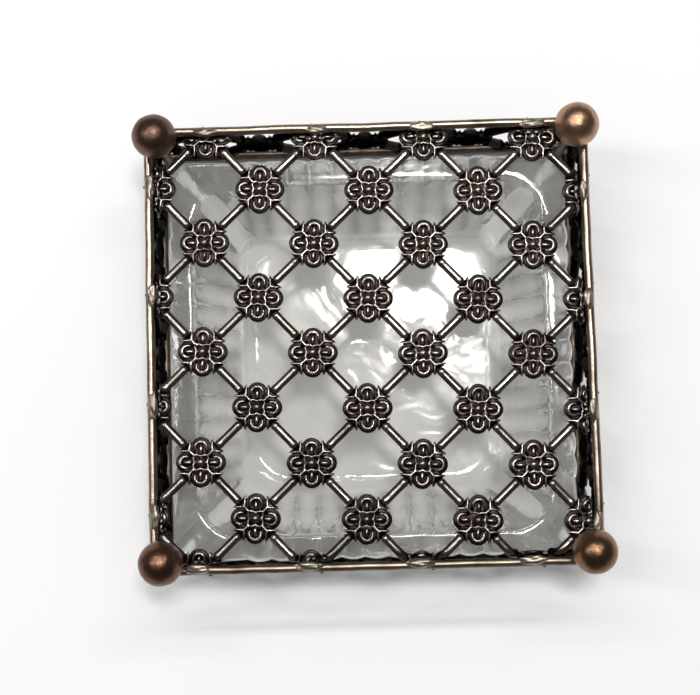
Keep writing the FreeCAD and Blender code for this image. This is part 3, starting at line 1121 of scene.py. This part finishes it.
def glass_shader():
    """Clear pressed glass with a faint grey-green tint, ripples, a light haze and painted shade in the
    reeds' dips.

    Shadow rays and diffuse rays pass straight through, so that the floor under the glass stays lit.
    """
    nodes = new_material("clear_pressed_glass")
    pale = colour(0.95, 0.945, 0.925)
    greyer = colour(0.84, 0.84, 0.82)
    reed_dip_painted_shade = colour(0.2, 0.225, 0.2)
    ripple = nodes.noise(scale=90.0, detail=2.0, roughness=0.5, distortion=0.6)
    haze = nodes.stretch(nodes.noise(scale=45.0), 0.3, 0.75, 0.02, 0.16)
    tint = nodes.mix(nodes.noise(scale=30.0, detail=2.0), pale, greyer)
    # painted shade in the reeds' dips
    painted_shade_in_dips = nodes.math("MULTIPLY", nodes.attribute("relief"), REED_PAINTED_SHADE)
    clear = nodes.principled({
        "Base Color": nodes.mix(painted_shade_in_dips, tint, reed_dip_painted_shade),
        "Roughness": haze,
        "IOR": GLASS_IOR,
        "Transmission Weight": 1.0,
        "Normal": nodes.bump(ripple, 0.25, 0.0012)})
    passing = nodes.node("ShaderNodeBsdfTransparent", {"Color": colour(0.91, 0.91, 0.895)}).outputs[0]
    milk = nodes.node("ShaderNodeBsdfDiffuse", {"Color": colour(0.8, 0.8, 0.78)}).outputs[0]
    cloud = nodes.stretch(nodes.noise(scale=60.0, detail=5.0), 0.35, 0.7, 0.01, 0.1)
    clear = nodes.blend(GLASS_PASSING, clear, passing)
    clear = nodes.blend(cloud, clear, milk)
    path = nodes.node("ShaderNodeLightPath").outputs
    lighting = nodes.math("MAXIMUM", path["Is Shadow Ray"], path["Is Diffuse Ray"])
    return nodes.finish("ShaderNodeOutputMaterial", nodes.blend(lighting, clear, passing))


def floor_shader():
    """A pale painted table top, not quite even."""
    nodes = new_material("pale_floor")
    cloud = nodes.noise(scale=5.0, detail=3.0)
    surface = nodes.principled({
        "Base Color": nodes.mix(cloud, colour(0.86, 0.86, 0.87), colour(0.92, 0.92, 0.92)),
        "Roughness": 0.6,
        "Normal": nodes.bump(nodes.noise(scale=900.0, detail=3.0), 0.1, 0.0002)})
    return nodes.finish("ShaderNodeOutputMaterial", surface)


# ---- stage ----
def floor():
    reach = FLOOR_REACH
    corners = [(-reach, -reach, 0), (reach, -reach, 0), (reach, reach, 0), (-reach, reach, 0)]
    ground = new_object("floor", mesh_from(corners, [(0, 1, 2, 3)]))
    ground.data.materials.append(floor_shader())
    ground.location.z = FLOOR_Z


def area_light(name, place, size, power, tone=(1.0, 1.0, 1.0)):
    """A rectangular lamp aimed at the origin."""
    lamp = bpy.data.lights.new(name, "AREA")
    lamp.shape = "RECTANGLE"
    lamp.size, lamp.size_y = size
    lamp.energy = power
    lamp.color = tone
    holder = new_object(name, lamp)
    holder.location = place
    holder.rotation_euler = (Vector() - Vector(place)).to_track_quat("-Z", "Y").to_euler()


def lamps():
    warm = (1.0, 0.97, 0.93)
    area_light("overhead_lamp", place=(0.055, 0.11, 0.8), size=(0.14, 0.07), power=2.2, tone=warm)
    area_light("strip_lamp", place=(0.0, 0.42, 0.8), size=(0.9, 0.06), power=2.5)
    area_light("side_lamp", place=(-0.42, 0.1, 0.75), size=(0.06, 0.5), power=1.5)


def world(strength, mirrored_share):
    """Soft grey surroundings, much dimmer where they are mirrored, so that the metal stays dark."""
    surroundings = bpy.data.worlds.new("surroundings")
    bpy.context.scene.world = surroundings
    nodes = Nodes(surroundings)
    direction = nodes.node("ShaderNodeTexCoord").outputs["Generated"]
    height = nodes.node("ShaderNodeSeparateXYZ", {0: direction}).outputs["Z"]
    fade = nodes.node("ShaderNodeValToRGB", {0: height})
    horizon, zenith = fade.color_ramp.elements
    horizon.position = 0.0
    horizon.color = colour(1.0, 1.0, 1.0)
    zenith.position = 0.75
    zenith.color = colour(0.5, 0.5, 0.51)
    path = nodes.node("ShaderNodeLightPath").outputs
    unbent = nodes.math("SUBTRACT", 1.0, path["Is Transmission Ray"])
    mirrored = nodes.math("MULTIPLY", path["Is Glossy Ray"], unbent)
    level = nodes.stretch(mirrored, 0.0, 1.0, strength, strength * mirrored_share)
    back = nodes.node("ShaderNodeBackground", {"Color": fade.outputs[0], "Strength": level}).outputs[0]
    nodes.finish("ShaderNodeOutputWorld", back)


def camera():
    eye = bpy.data.cameras.new("camera")
    eye.lens = CAMERA_LENS
    eye.sensor_width = CAMERA_SENSOR
    eye.clip_start = CAMERA_NEAREST
    holder = new_object("camera", eye)
    holder.location = CAMERA_AT
    holder.rotation_euler = CAMERA_TURN
    bpy.context.scene.camera = holder


# ---- build ----
def cage():
    """Every piece of the metal cage. The order of the calls is the order of the random draws."""
    on_top = lattice_metal()
    on_walls = shaded_wall_metal()
    of_wire = wire_metal()
    of_solder = solder_metal()
    bar = bar_mesh()
    top_flowers(flower_mesh(TOP_FLOWER_FACES), on_top)
    top_bars(bar, on_top)
    wall_flower = flower_mesh(WALL_FLOWER_FACES)
    for side in SIDES:
        wall_flowers(side, wall_flower, on_walls)
        wall_bars(side, bar, on_walls)
    rails(of_wire)
    posts(of_wire)
    balls(ball_metals())
    solder_piece("top_solder_blobs", "top_solder", top_places, height=TOP_RAIL_Z,
                 inward=0.35, lift=0.75, lean=20, metal=of_solder)
    solder_piece("bottom_solder_blobs", "bottom_solder", bottom_places, height=LOW_RAIL_Z,
                 inward=-0.75, lift=0.3, lean=-60, metal=of_solder)


cage()
glass_dish(glass_shader())
floor()
world(strength=0.68, mirrored_share=0.13)
lamps()
camera()
bpy.context.scene.view_settings.view_transform = "Standard"
